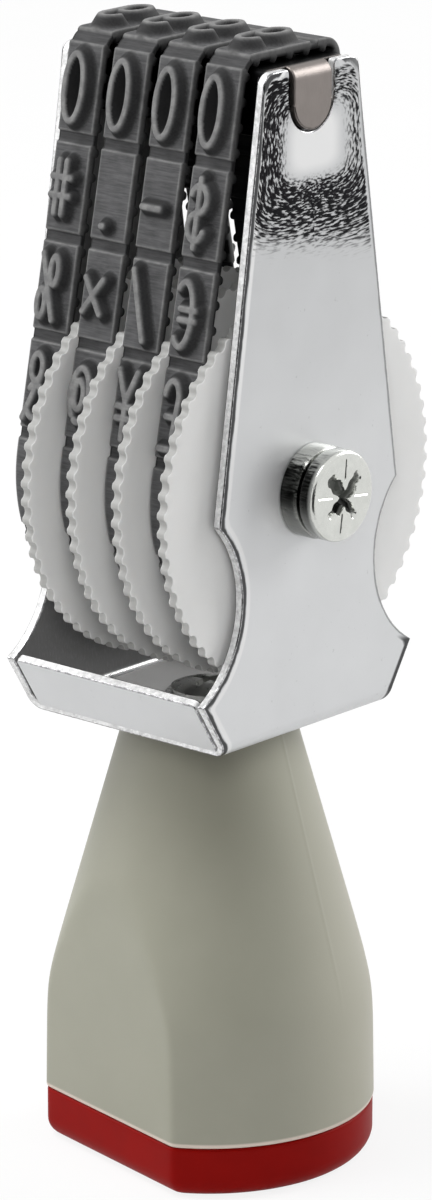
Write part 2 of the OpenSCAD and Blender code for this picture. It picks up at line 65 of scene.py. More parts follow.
class Wire:
    """A shader socket. Sums and products of wires add Math nodes, and node() adds any other node."""

    def __init__(self, tree, socket=None):
        self.tree = tree
        self.socket = socket

    def fill(self, made, sockets):
        """Sets or links a node's sockets."""
        for name, value in sockets.items():
            if isinstance(value, Wire):
                self.tree.links.new(value.socket, made.inputs[name])
            else:
                made.inputs[name].default_value = value

    def node(self, kind, settings={}, sockets={}, out=0):
        """Adds a node of a kind with its settings, fills its sockets and gives one of its outputs."""
        made = self.tree.nodes.new(kind)
        for name, value in settings.items():
            setattr(made, name, value)
        self.fill(made, sockets)
        return Wire(self.tree, made.outputs[out])

    def maths(self, operation, *values):
        """A Math node's operation on values."""
        return self.node("ShaderNodeMath", {"operation": operation}, dict(enumerate(values)))

    def __add__(self, other):
        return self.maths("ADD", self, other)

    def __sub__(self, other):
        return self.maths("SUBTRACT", self, other)

    def __rsub__(self, other):
        return self.maths("SUBTRACT", other, self)

    def __mul__(self, other):
        return self.maths("MULTIPLY", self, other)

    def __truediv__(self, other):
        return self.maths("DIVIDE", self, other)

    def __pow__(self, other):
        return self.maths("POWER", self, other)

    def __abs__(self):
        return self.maths("ABSOLUTE", self)

    __radd__ = __add__
    __rmul__ = __mul__

    def larger(self, other):
        """The larger of two values."""
        return self.maths("MAXIMUM", self, other)

    def ease(self, low, high):
        """0 up to one value and 1 from another, eased between."""
        return self.node(
            "ShaderNodeMapRange",
            {"interpolation_type": "SMOOTHSTEP"},
            {"Value": self, "From Min": low, "From Max": high},
        )

    def mix(self, first, second):
        """The first colour where this is 0 and the second where it is 1."""
        return self.node("ShaderNodeMix", {"data_type": "RGBA"}, {0: self, 6: first, 7: second}, 2)

    def noise(self, scale, detail=3.0, roughness=0.55):
        """Noise over these coordinates, about 0.5 in the middle."""
        sockets = {"Vector": self, "Scale": scale, "Detail": detail, "Roughness": roughness}
        return self.node("ShaderNodeTexNoise", {}, sockets)

    def stretch(self, x, y, z):
        """These coordinates scaled along each axis."""
        return self.node("ShaderNodeMapping", {"vector_type": "POINT"}, {"Vector": self, "Scale": (x, y, z)})

    def axis(self, name):
        """One of these three coordinates."""
        return self.node("ShaderNodeSeparateXYZ", {}, {0: self}, name)

    def mark(self, name):
        """A value that the mesh holds at each of its points."""
        return self.node("ShaderNodeAttribute", {"attribute_name": name}, {}, "Fac")

    def bump(self, strength, distance):
        """Shading normal of a surface whose height in units of the distance is this value."""
        sockets = {"Height": self, "Strength": strength, "Distance": distance * mm}
        return self.node("ShaderNodeBump", {}, sockets)


def new_finish(name):
    """A new material, and a wire to its object coordinates in millimetres."""
    made = bpy.data.materials.new(name)
    made.use_nodes = True
    wire = Wire(made.node_tree)
    place = wire.node("ShaderNodeTexCoord", {}, {}, "Object")
    return made, place.node("ShaderNodeVectorMath", {"operation": "SCALE"}, {0: place, "Scale": 1 / mm})


def set_shader(made, sockets):
    """Sets or links the sockets of a material's own shader."""
    Wire(made.node_tree).fill(made.node_tree.nodes["Principled BSDF"], sockets)


def linear(*levels):
    """Linear colour of three display levels from 0 to 255."""
    share = np.array(levels) / 255
    curve = ((share + 0.055) / 1.055) ** 2.4
    return (*np.where(share < 0.04045, share / 12.92, curve).tolist(), 1.0)


def soft_least(a, b, blend):
    """The smaller of two lengths, rounded over where they cross by a log of summed exponentials."""
    return np.minimum(a, b) - blend * np.log1p(np.exp(-np.abs(a - b) / blend))


def grip_section(turn, radius, flat):
    """Radius at each angle of a circle cut by two opposite flats, with soft arrises between."""
    facing = np.maximum(np.abs(np.sin(turn - flat_turn)), 0.01)
    return soft_least(radius, flat / facing, arris_blend)


def edge_round(radius, steps=6):
    """Inset and rise of points round an edge, from the flat face out to the side."""
    angle = np.linspace(0, np.pi / 2, steps)
    return radius * (1 - np.sin(angle)), radius * (1 - np.cos(angle))


def upright_rings(turn, radius, height):
    """Rings round the vertical axis: each point at its radius and angle, at the ring's height."""
    height = np.broadcast_to(height, radius.shape)
    return np.stack([radius * np.cos(turn), radius * np.sin(turn), height], axis=-1)


def ring_shell(rings, joined=False):
    """A shell of closed rings with quads between neighbours. The first and last rings are filled
    flat, or joined to each other."""
    count, around = rings.shape[:2]
    index = np.arange(count * around).reshape(count, around)
    lower = index if joined else index[:-1]
    upper = np.roll(index, -1, axis=0)[: len(lower)]
    quads = np.stack([lower, np.roll(lower, -1, 1), np.roll(upper, -1, 1), upper], axis=-1)
    ends = [] if joined else [index[0], index[-1]]
    return rings.reshape(-1, 3), quads.reshape(-1, 4), ends


def make_piece(name, shells, finish, body, nodes, crease=None, marks=None):
    """One object at the origin from shells in millimetres, with its faces outward and smooth up to
    a crease angle, riding on its body in place of its CAD nodes."""
    starts = np.cumsum([0] + [len(shell[0]) for shell in shells[:-1]])
    points = np.concatenate([shell[0] for shell in shells]) * mm
    faces = []
    for start, (_, quads, ends) in zip(starts, shells):
        faces += (quads + start).tolist() + [(end + start).tolist() for end in ends]
    mesh = bpy.data.meshes.new(name)
    mesh.from_pydata(points.tolist(), [], faces)
    for mark, values in (marks or {}).items():
        mesh.attributes.new(mark, "FLOAT", "POINT").data.foreach_set("value", values.astype(np.float32))
    work = bmesh.new()
    work.from_mesh(mesh)
    bmesh.ops.recalc_face_normals(work, faces=work.faces)
    work.to_mesh(mesh)
    work.free()
    mesh.shade_smooth()
    if crease:
        mesh.set_sharp_from_angle(angle=np.radians(crease))
    mesh.materials.append(finish)
    piece = bpy.data.objects.new(name, mesh)
    bpy.context.scene.collection.objects.link(piece)
    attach(piece, body)
    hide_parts(*nodes)
    return piece


grip_finish, place = new_finish("grey_grip")
right, rear, height = place.axis("X"), place.axis("Y"), place.axis("Z")
cloud = place.noise(0.12, 2.0)
grain = place.noise(4.0, 2.0)
scuff = place.stretch(1.0, 1.0, 0.12).noise(1.1, 4.0, 0.65).ease(0.62, 0.78)
moulded = cloud.mix(linear(147, 147, 132), linear(156, 155, 141))
# Painted light: the grip is painted paler towards its right rear side, as if lit there.
painted_lit_side = (0.7 * right + 0.7 * rear).ease(5.0, 17.0).mix(moulded, linear(167, 165, 150))
# Painted shade: the front of the neck is painted darker towards the top, for the shadow the tray throws on
# it.
neck_shade = 0.5 * height.ease(neck_shade_from_z, neck_shade_full_z) * (0.3 * right + rear).ease(4.0, -6.0)
with_neck_shade = neck_shade.mix(painted_lit_side, linear(84, 82, 70))
# Painted highlight: a pale line on the grip just above its joint with the cap.
foot_highlight = (height - joint_z).ease(foot_highlight_h, foot_highlight_full_h)
set_shader(grip_finish, {
    "Base Color": foot_highlight.mix(with_neck_shade, linear(212, 198, 186)),
    "Roughness": 0.4 + 0.12 * cloud + 0.1 * scuff,
    "Normal": (grain + 0.4 * scuff).bump(0.12, 0.06),
    "Specular IOR Level": 0.45,
})

turn = np.linspace(0, 2 * np.pi, grip_steps, endpoint=False)
inset, rise = edge_round(grip_edge_r)
side_z = np.concatenate([
    np.linspace(joint_z + 1.2, knee_z - 5, 9),
    np.linspace(knee_z - 4.5, knee_z + 5, 16),
    np.linspace(knee_z + 6.5, tray_z - 1.2, 22),
])
heights = np.concatenate([joint_z + rise, side_z, tray_z - rise[::-1]])[:, None]
insets = np.concatenate([inset, 0 * side_z, inset[::-1]])[:, None]
straight = handle_r - handle_draft * (heights - joint_z) / (knee_z - joint_z)
taper = neck_r + (tray_z - heights) * (handle_r - handle_draft - neck_r) / (tray_z - knee_z)
radius = soft_least(straight, taper, knee_blend)
section = grip_section(turn, radius - insets, flat_dist - insets)
off_seam = np.abs((turn - seam_turn + np.pi / 2) % np.pi - np.pi / 2)
seam_fade = np.clip((heights - seam_from_z) / seam_fade_h, 0, 1) * (insets == 0)
section = section + seam_h * seam_fade * np.exp(-(off_seam * section / seam_w) ** 2)
make_piece(
    "handle_grip", [ring_shell(upright_rings(turn, section, heights))],
    grip_finish, "stamp", ["handle_body"],
)

# Threaded insert: a brass bush moulded into the handle's neck that takes the handle screw.
# It is turned from bar, so fine rings run round it.
brass_finish, place = new_finish("turned_brass")
rings = place.stretch(0.05, 0.05, 1.0).noise(5.0, 2.0)
set_shader(brass_finish, {
    "Base Color": rings.mix(linear(190, 160, 92), linear(214, 184, 112)),
    "Metallic": 1.0,
    "Roughness": 0.28 + 0.15 * rings,
    "Normal": rings.bump(0.2, 0.03),
})


def dress(node, finish):
    """Gives a CAD node that keeps its own shape a finish."""
    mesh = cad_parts[node].data
    mesh.materials.clear()
    mesh.materials.append(finish)


dress("handle_insert", brass_finish)

# End cap: a red moulded foot plugged into the handle's end, on which the stamp stands.
# It is a hair smaller than the grip, with a round lower edge.
cap_edge_r = 2.2
cap_inset = 0.12
cap_lid_r = 0.35
rub_from_z = 1.6
rub_full_z = 0.2
cap_finish, place = new_finish("red_cap")
cloud = place.noise(0.2, 2.0)
grain = place.noise(5.0, 2.0)
rub = place.axis("Z").ease(rub_from_z, rub_full_z) * place.noise(1.6, 4.0).ease(0.45, 0.7)
set_shader(cap_finish, {
    "Base Color": (cloud + 0.25 * rub).mix(linear(126, 5, 2), linear(144, 9, 4)),
    "Roughness": 0.4 + 0.12 * cloud + 0.2 * rub,
    "Normal": (grain + 0.6 * rub).bump(0.1, 0.05),
    "Specular IOR Level": 0.06,
})
inset, rise = edge_round(cap_edge_r, 10)
lid_inset, lid_rise = edge_round(cap_lid_r)
side_z = np.linspace(2.6, 5.2, 5)
heights = np.concatenate([rise, side_z, joint_z - lid_rise[::-1]])[:, None]
insets = np.concatenate([inset, 0 * side_z, lid_inset[::-1]])[:, None] + cap_inset
section = grip_section(turn, handle_r - insets, flat_dist - insets)
make_piece(
    "end_cap", [ring_shell(upright_rings(turn, section, heights))],
    cap_finish, "stamp", ["handle_cap"],
)

# Frame: one blank of bright plated sheet steel, folded up into a tray with two tall side plates.
# The short lips at its front and back are folded up from the tray's floor. The plating is dented round
# a dish at the top of each plate. The dish's brightness is a painted highlight, and the dark mottling in
# the dents and the dark lines along the cut edges are painted reflections.
sheet_t = 1.0
frame_half = 14.0
fold_r = 1.7
fold_mid = fold_r - sheet_t / 2
floor_half = frame_half - fold_r
plate_h = 71.8
plate_top_half = 7.35
plate_foot_half = 12.95
lip_half = 16.95
lip_h = 6.4
shoulder_half = 14.35
shoulder_h = 25.2
finger_r = 11.8
plate_corner_r = 1.5
notch_r = 3.6
notch_mid_h = 68.4
notch_corner_r = 0.4
lip_long_half = 12.7
lip_fold_mid = 1.2
lip_corner_r = 0.5
edge_bevel = 0.15
covering = 0.02
axle_z = 76.6
dish_y = 0.5
dish_z = 113.6
dish_half_y = 4.5
dish_half_h = 3.5
ruled_to_h = 62.5
outline_step = 0.45
lip_outline_step = 0.6
lip_flat = 1.6
plate_top_z = tray_z + plate_h
lip_top_z = tray_z + lip_h


def round_corner(point, before, after, radius, steps=7):
    """Points of an arc of a radius that touches the two lines of a corner."""
    point, before, after = np.array(point), np.array(before), np.array(after)
    u = (before - point) / np.linalg.norm(before - point)
    v = (after - point) / np.linalg.norm(after - point)
    half = np.arccos(u @ v) / 2
    middle = (u + v) / np.linalg.norm(u + v)
    centre = point + middle * radius / np.sin(half)
    swing = np.linspace(half - np.pi / 2, np.pi / 2 - half, steps)[:, None]
    side = (v - u) / np.linalg.norm(v - u)
    return centre + radius * (side * np.sin(swing) - middle * np.cos(swing))


def filled(points, step):
    """A line through points with its long stretches divided into steps."""
    pairs = zip(points[:-1], points[1:])
    parts = [np.linspace(a, b, int(np.linalg.norm(b - a) / step) + 1, endpoint=False) for a, b in pairs]
    return np.concatenate(parts + [points[-1:]])


def rows_through(stops, counts):
    """Places from stop to stop, with each stretch divided into its own count of steps."""
    pairs = zip(stops[:-1], stops[1:], counts)
    parts = [np.linspace(a, b, count, endpoint=False) for a, b, count in pairs]
    return np.concatenate(parts + [stops[-1:]])


def mirrored_end(points):
    """The end line of a tongue from one side to the other, given its half on the minus side."""
    return np.concatenate([points, (points * [-1, 1])[::-1][1:]])


def tongue(end, half, lengths, ruled=6):
    """Flat points of a tongue of sheet. Lines leave its end in even steps and run straight to the
    first row, and every row spreads the same steps from edge to edge."""
    run = np.r_[0, np.cumsum(np.linalg.norm(np.diff(end, axis=0), axis=1))]
    share = 2 * run / run[-1] - 1
    rows = np.stack(np.broadcast_arrays(half(lengths)[:, None] * share, lengths[:, None]), axis=-1)
    blend = np.linspace(0, 1, ruled, endpoint=False)[:, None, None]
    return np.concatenate([end + (rows[0] - end) * blend, rows])


def both_ways(flat):
    """A tongue and its mirror image past length nought, as one grid."""
    return np.concatenate([flat, (flat[::-1] * [1, -1])[1:]])


def sheet_shell(middle, normal, thick):
    """A sheet: its middle surface moved half a thickness both ways along its normals, with the two
    faces joined round the edge."""
    rows, columns = middle.shape[:2]
    outer = middle + normal * thick / 2
    inner = middle - normal * thick / 2
    index = np.arange(rows * columns).reshape(rows, columns)
    face = np.stack([index[:-1, :-1], index[1:, :-1], index[1:, 1:], index[:-1, 1:]], axis=-1).reshape(-1, 4)
    rim = np.concatenate([index[0, :-1], index[:-1, -1], index[-1, :0:-1], index[:0:-1, 0]])
    after = np.roll(rim, -1)
    edge = np.stack([rim, after, after + index.size, rim + index.size], axis=-1)
    points = np.concatenate([outer.reshape(-1, 3), inner.reshape(-1, 3)])
    return points, np.concatenate([face, face[:, ::-1] + index.size, edge]), []


def rim_distance(middle, least, reach=3.0):
    """Distance of a sheet's points from its outline, up to a reach. The outline nearer to the
    middle than the least depth, such as a notch, is left out."""
    rim = np.concatenate([middle[0], middle[:, -1], middle[-1], middle[:, 0]])
    rim = rim[np.abs(rim[:, 1]) > least]
    points = middle.reshape(-1, 1, 3)
    near = [np.linalg.norm(part - rim, axis=-1).min(1) for part in np.array_split(points, 16)]
    return np.minimum(np.concatenate(near), reach)


def dress_cut(piece, marks, finish):
    """Gives a finish to a sheet's cut faces, which join its outer points to its inner ones."""
    corners = np.empty(len(piece.data.loops), int)
    piece.data.loops.foreach_get("vertex_index", corners)
    cut = np.ptp(marks[corners.reshape(-1, 4)].astype(int), axis=1)
    piece.data.materials.append(finish)
    piece.data.polygons.foreach_set("material_index", cut)


def round_edges(piece, width):
    """Rounds a sheet's cut edges and gives them its last material."""
    bevel = piece.modifiers.new("rounded_edges", "BEVEL")
    bevel.width = width * mm
    bevel.segments = 3
    bevel.material = len(piece.data.materials) - 1
    bevel.limit_method = "ANGLE"
    bevel.angle_limit = np.radians(50)
    bevel.use_clamp_overlap = False


def trough(length, floor, bend, low):
    """Place and outward normal across a folded trough at a length from its middle: flat for half
    the floor, a quarter turn round the bend, then straight up."""
    side = np.where(length < 0, -1.0, 1.0)
    reach = np.abs(length)
    angle = np.clip((reach - floor) / bend, 0, np.pi / 2)
    climb = np.maximum(reach - floor - bend * np.pi / 2, 0)
    x = side * (np.minimum(reach, floor) + bend * np.sin(angle))
    z = low + bend * (1 - np.cos(angle)) + climb
    return x, z, side * np.sin(angle), -np.cos(angle)


chord = np.array([shoulder_half - lip_half, shoulder_h - lip_h])
chord_l = np.linalg.norm(chord)
stand_off = np.sqrt(finger_r ** 2 - chord_l ** 2 / 4) / chord_l
finger_y = (lip_half + shoulder_half) / 2 + chord[1] * stand_off
finger_h = (lip_h + shoulder_h) / 2 - chord[0] * stand_off


def plate_half(height):
    """Half depth of a side plate: slanted beside the lip, cut in by the finger circle, then tapered."""
    slanted = plate_foot_half + (lip_half - plate_foot_half) * height / lip_h
    cut = finger_y - np.sqrt(np.maximum(finger_r ** 2 - (height - finger_h) ** 2, 0))
    share = (height - shoulder_h) / (plate_h - shoulder_h)
    tapered = shoulder_half + (plate_top_half - shoulder_half) * share
    return np.where(height < lip_h, slanted, np.where(height < shoulder_h, cut, tapered))


wall_from = floor_half + fold_mid * np.pi / 2 - fold_r
arc = np.linspace(np.pi, 1.5 * np.pi, 14)
plate_end = mirrored_end(filled(np.concatenate([
    round_corner((-plate_top_half, plate_h), (-shoulder_half, shoulder_h), (0, plate_h), plate_corner_r),
    round_corner((-notch_r, plate_h), (-plate_top_half, plate_h), (-notch_r, 0), notch_corner_r, 5),
    np.stack([notch_r * np.cos(arc), notch_mid_h + notch_r * np.sin(arc)], axis=-1),
]), outline_step) + [0, wall_from])
plate_stops = np.array([ruled_to_h, shoulder_h, lip_h, fold_r]) + wall_from
plate_rows = rows_through([*plate_stops, floor_half, 0], [40, 34, 8, 10, 7])


def sheet_half(length):
    """Half depth of the frame's sheet at a length from the tray's middle."""
    return plate_half(trough(length, floor_half, fold_mid, sheet_t / 2)[1])


flat = both_ways(tongue(plate_end, sheet_half, plate_rows))
x, z, normal_x, normal_z = trough(flat[..., 1], floor_half, fold_mid, tray_z + sheet_t / 2)
plate_middle = np.stack([x, flat[..., 0], z], axis=-1)
plates = sheet_shell(plate_middle, np.stack([normal_x, 0 * x, normal_z], axis=-1), sheet_t)

lip_lean = np.arctan2(lip_h, lip_half - plate_foot_half)
lip_fold_reach = (lip_fold_mid + sheet_t / 2) * np.tan(lip_lean / 2)
lip_slant = np.hypot(lip_h, lip_half - plate_foot_half) - lip_fold_reach
lip_turn = lip_fold_mid * lip_lean
lip_end_l = lip_flat + lip_turn + lip_slant
lip_end = mirrored_end(filled(np.concatenate([
    round_corner((-lip_long_half, lip_end_l), (-lip_long_half, 0), (0, lip_end_l), lip_corner_r, 5),
    [[0, lip_end_l]],
]), lip_outline_step))
lip_rows = rows_through([lip_end_l - 1.2, lip_flat + lip_turn, lip_flat, 0], [7, 8, 3])


def lip_width(length):
    """Half length of a lip, narrower where it lies in the tray's floor."""
    out = np.clip((length - lip_flat) / lip_turn, 0, 1)
    return floor_half + (lip_long_half - floor_half) * out


flat = tongue(lip_end, lip_width, lip_rows, 3)
angle = np.clip((flat[..., 1] - lip_flat) / lip_fold_mid, 0, lip_lean)
slide = np.maximum(flat[..., 1] - lip_flat - lip_turn, 0)
lip_y = (
    plate_foot_half - lip_fold_reach - lip_flat + np.minimum(flat[..., 1], lip_flat)
    + lip_fold_mid * np.sin(angle) + slide * np.cos(lip_lean)
)
lip_z = tray_z + sheet_t / 2 + lip_fold_mid * (1 - np.cos(angle)) + slide * np.sin(lip_lean)
lip_middle = np.stack([flat[..., 0], lip_y, lip_z], axis=-1)
lip_normal = np.stack([0 * angle, np.sin(angle), -np.cos(angle)], axis=-1)
# The lips are a hair thicker than the plates, because both lie in the tray's floor.
half_turn = np.array([-1, -1, 1])
both_turns = (half_turn, half_turn ** 2)
lips = [sheet_shell(lip_middle * way, lip_normal * way, sheet_t + covering) for way in both_turns]

steel_finish, place = new_finish("bright_plated_steel")
right, rear, height = place.axis("X"), place.axis("Y"), place.axis("Z")
rim = place.mark("rim")
inside = place.mark("inside")
outside = 1 - inside
cloud = place.noise(0.15, 2.0)
pits = place.noise(1.6, 3.0, 0.6).ease(0.68, 0.78)
scratch = place.stretch(0.5, 3.0, 1.0).noise(1.4, 5.0, 0.7)
chipped = place.stretch(1.0, 1.0, 0.3).noise(0.8, 3.0, 0.6) - 0.5

# The dents run in ripples round the dish, thickest at its foot and thinner at the rear.
off_dish = ((abs(rear - dish_y) / dish_half_y) ** 4 + (abs(height - dish_z) / dish_half_h) ** 4) ** 0.25
# Painted highlight: the dish is painted bright, as a reflection of the pale floor.
dish = off_dish.ease(1.1, 0.6)
bearing = rear.maths("ARCTAN2", rear - dish_y, height - dish_z)
round_dish = place.node("ShaderNodeCombineXYZ", {}, {0: 6.0 * bearing, 1: 9.5 * off_dish, 2: right})
ripple = round_dish.noise(1.7, 2.0, 0.5)
dent_foot = (height + 0.15 * rear).ease(99.8, 107.2)
dent_top = (plate_top_z - height).ease(0.4, 1.2)
thinner = 0.4 * rear.ease(2.0, 4.5) * height.ease(108.0, 111.0)
dented = off_dish.ease(0.75, 1.5) * dent_foot * dent_top * rim.ease(0.5, 0.9) * (1 - thinner) * outside
# Painted reflection: the dents are mottled dark for the dark surroundings they reflect; their ripples also
# bump the surface.
blotch = 0.9 * dented + 4.2 * (ripple - 0.5) * dented ** 0.5
dark = blotch.ease(0.15, 0.85) * (0.25 + 0.75 * dented.ease(0.05, 0.6))

# A painted dark reflection follows the plates' cut edges, with a painted highlight beside it at the front.
# The slit beside the rear lip is painted dark too, as painted shade.
front_line = (rim + 0.5 * chipped).ease(0.72, 0.5) * rear.ease(9.0, 4.0)
rear_line = 0.6 * (rim + 0.3 * chipped).ease(0.48, 0.3) * rear.ease(4.0, 9.0)
slit = rim.ease(0.85, 0.6) * rear.ease(12.0, 13.4) * (height - lip_top_z).ease(1.0, 0.0)
edge_dark_reflection = (front_line + rear_line).larger(slit) * outside
edge_highlight = rim.ease(0.65, 0.8) * rim.ease(1.4, 1.1) * rear.ease(6.0, 2.0) * outside
painted_dark = dark.larger(0.9 * edge_dark_reflection)

# The plating is greyer up the plates. In front of the right collar it is painted pale, a painted light over
# the collar's shade on the plate.
grey = (0.4 * cloud + 0.6 * height.ease(104.0, 72.0)).mix(linear(188, 189, 190), linear(213, 214, 215))
pitted = (0.35 * pits).mix(grey, linear(150, 150, 150))
off_axle = (rear ** 2 + (height - axle_z) ** 2) ** 0.5
in_front = abs(height - axle_z).ease(5.0, 0.5) * rear.ease(-2.0, -4.5) * (frame_half - right).ease(0.6, 0.4)
painted_collar_light = (0.8 * off_axle.ease(9.5, 5.2) * in_front).mix(pitted, linear(252, 252, 252))
# Painted highlights: the dish and a strip beside the front edges are painted pale.
bright = dish.larger(edge_highlight).mix(painted_collar_light, linear(223, 223, 223))

# Inside, the metal is dull. Its floor is painted pale, a painted light over the wheels' shade, and its walls
# are painted dark as painted shade. The fold between them shines.
past_floor = abs(right) - floor_half
fold = inside * past_floor.ease(-0.2, -0.1) * past_floor.ease(0.65, 0.5)
inside_light_and_shade = past_floor.ease(0.1, 0.2).mix(linear(244, 243, 242), linear(116, 116, 116))
set_shader(steel_finish, {
    "Base Color": (inside * (0.75 + 0.5 * scratch)).mix(
        painted_dark.mix(bright, linear(20, 20, 22)), fold.mix(inside_light_and_shade, linear(250, 250, 250))),
    "Metallic": 0.6 + 0.4 * painted_dark - 0.5 * inside + 0.8 * fold,
    "Roughness": 0.44 + 0.06 * cloud + 0.1 * pits - 0.28 * dented - 0.3 * fold,
    "Normal": (ripple * (0.05 + 1.2 * dented) + 0.12 * pits + 0.8 * inside * scratch).bump(0.5, 0.12),
})
edge_finish, place = new_finish("sheared_edge")
nick = place.noise(2.4, 4.0, 0.65)
set_shader(edge_finish, {
    "Base Color": nick.ease(0.35, 0.65).mix(linear(120, 120, 122), linear(200, 200, 201)),
    "Metallic": 1.0,
    "Roughness": 0.08 + 0.14 * nick,
    "Normal": nick.bump(0.1, 0.05),
})
cut_finish, place = new_finish("burred_edge")
burr = place.noise(1.5, 4.0, 0.7)
set_shader(cut_finish, {
    "Base Color": burr.ease(0.3, 0.7).mix(linear(196, 196, 196), linear(242, 242, 242)),
    "Metallic": 0.3,
    "Roughness": 0.35 + 0.2 * burr,
    "Normal": burr.bump(0.5, 0.15),
})
shells = [plates] + lips
inner_mark = np.concatenate([np.arange(len(shell[0])) >= len(shell[0]) // 2 for shell in shells])
plate_rims = np.tile(rim_distance(plate_middle, notch_r + 1.5), 2)
rims = np.r_[plate_rims, np.full(len(inner_mark) - len(plate_rims), plate_rims.max())]
steel_frame = make_piece(
    "folded_frame", shells, steel_finish, "stamp", ["frame"],
    crease=30, marks={"inside": inner_mark, "rim": rims},
)
dress_cut(steel_frame, inner_mark, cut_finish)
steel_frame.data.materials.append(edge_finish)
round_edges(steel_frame, edge_bevel)

# Handle screw and washer: they clamp the tray's floor to the handle from inside the tray.
# Both are zinc plated, and keep the shape of the solids.
zinc_finish, place = new_finish("zinc_plating")
cloud = place.noise(0.7, 3.0)
wear = place.noise(2.2, 4.0, 0.65).ease(0.5, 0.72)
set_shader(zinc_finish, {
    "Base Color": (0.6 * cloud + 0.4 * wear).mix(linear(196, 197, 196), linear(224, 224, 220)),
    "Metallic": 1.0,
    "Roughness": 0.2 + 0.16 * cloud + 0.12 * wear,
    "Normal": (cloud + 0.5 * wear).bump(0.15, 0.08),
})
dress("handle_screw", zinc_finish)
dress("handle_washer", zinc_finish)

# Axle: a steel tube between the plates that the four wheels turn on, with a thin washer at each end.
# The tube is drawn bar, and the washers are stamped from bare strip.
bare_finish, place = new_finish("bare_steel")
drawn = place.stretch(0.25, 1.0, 1.0).noise(2.6, 3.0)
set_shader(bare_finish, {
    "Base Color": drawn.mix(linear(150, 147, 145), linear(180, 177, 174)),
    "Metallic": 1.0,
    "Roughness": 0.3 + 0.15 * drawn,
    "Normal": drawn.bump(0.2, 0.05),
})
for node in ("axle_tube", "end_washer_left", "end_washer_right"):
    dress(node, bare_finish)

# Thumb wheels: four white mouldings, each a fluted drum that drives a band and a serrated disc.
# They run loose on the axle tube, and the discs stand out between the bands to be turned by thumb.
bands = 4
band_pitch = 6.35
first_x = -12.7
wheel_r = 21.3
bore_r = 4.55
drum_r = 15.0
drum_from = 0.2
drum_edge = 0.15
disc_from = 5.05
disc_to = 6.15
teeth = 66
tooth_depth = 0.5
tooth_cut_r = 0.75
rim_round = 0.12
flutes = 38
flute_depth = 0.5
flute_from_r = drum_r - 0.6
steps_per_tooth = 12
tooth_blend = 0.05
rim_shade_from_r = 20.4
rim_shade_full_r = 20.7

turn = np.linspace(0, 2 * np.pi, teeth * steps_per_tooth, endpoint=False)
cut_centre = wheel_r - tooth_depth + tooth_cut_r
off_cut = (turn * teeth / (2 * np.pi) + 0.5) % 1 - 0.5
across = cut_centre * np.sin(off_cut * 2 * np.pi / teeth)
cut = cut_centre - np.sqrt(np.maximum(tooth_cut_r ** 2 - across ** 2, 0))
serration = wheel_r - soft_least(np.full_like(cut, wheel_r), cut, tooth_blend)
flute = flute_depth * np.maximum(np.cos(turn * flutes), 0) ** 2


def wheel_rings():
    """Section of a wheel as rings round the axle, along the drum, out round the disc's rim and back
    in: places along the axle and radii."""
    inset, rise = edge_round(rim_round, 5)
    x = np.concatenate([
        np.full(4, drum_from), [drum_from + drum_edge, disc_from - drum_edge], np.full(4, disc_from),
        disc_from + rise, disc_to - rise[::-1], np.full(5, disc_to),
    ])
    r = np.concatenate([
        [bore_r, 9.0, flute_from_r, drum_r - drum_edge], [drum_r, drum_r],
        [drum_r + drum_edge, 16.0, 18.0, 20.0],
        wheel_r - inset, wheel_r - inset[::-1], [20.0, 17.0, 12.0, 8.0, bore_r],
    ])
    return x, r


white_finish, place = new_finish("white_moulding")
cloud = place.noise(0.25, 2.0)
grain = place.noise(3.5, 2.0)
from_axle = (place.axis("Y") ** 2 + (place.axis("Z") - axle_z) ** 2) ** 0.5
# Painted shade: the discs are painted darker in a blotchy way inwards from near the rim, where the bands and
# the next disc shade them.
inner_shade = from_axle.ease(19.6, 16.2) * (0.5 + 0.5 * place.noise(0.8, 3.0))
from_first = place.axis("X") - first_x
in_pitch = from_first.maths("FLOORED_MODULO", from_first, band_pitch)
off_faces = (in_pitch - disc_from).ease(0.02, 0.14) * (in_pitch - disc_to).ease(-0.02, -0.14)
# Painted shade: the serrated rims are painted darker, to tone down the light on the teeth.
rim_shade = from_axle.ease(rim_shade_from_r, rim_shade_full_r) * off_faces
white = (0.35 * cloud + 0.5 * inner_shade).mix(linear(222, 222, 221), linear(208, 208, 207))
set_shader(white_finish, {
    "Base Color": rim_shade.mix(white, linear(164, 164, 162)),
    "Roughness": 0.42 + 0.15 * cloud,
    "Normal": grain.bump(0.08, 0.05),
    "Subsurface Weight": 0.12,
    "Subsurface Radius": (0.0012, 0.0011, 0.001),
    "Subsurface Scale": 1.0,
})
x, r = wheel_rings()
toothed = (r > wheel_r - 2 * rim_round)[:, None]
fluted = ((r >= flute_from_r) & (r <= drum_r))[:, None]
reach = r[:, None] - toothed * serration - fluted * flute
for i in range(bands):
    along = np.broadcast_to((first_x + i * band_pitch + x)[:, None], reach.shape)
    rings = np.stack([along, reach * np.cos(turn), axle_z + reach * np.sin(turn)], axis=-1)
    make_piece(
        f"thumb_disc_{i + 1}", [ring_shell(rings, joined=True)],
        white_finish, f"wheel_{i + 1}", [f"thumb_wheel_{i + 1}"], crease=40,
    )

# Type bands: four closed loops of dark rubber, moulded flat with a block for every character.
# Each is stretched round its wheel's drum and over the bridge, with ribs inside for the drum's flutes.
band_from = -0.05
band_w = 4.95
web_t = 0.5
block_h = 0.4
type_h = 1.3
rib_h = 0.5
groove_w = 1.0
loop_drum_r = 15.76
loop_edge_r = 1.35
edge_y = 5.65
edge_z = 121.15
cells = 15
band_roll = 1.6
ribs_per_cell = 4
rows_per_cell = 100
face_half = 0.26
flank_w = 0.85
block_flank_w = 0.16
block_highlight_w = 0.13
band_edge_r = 0.12
band_edge_rise = 0.1
shade_most = 0.85
glyph_reach = np.array([1.25, 3.55])

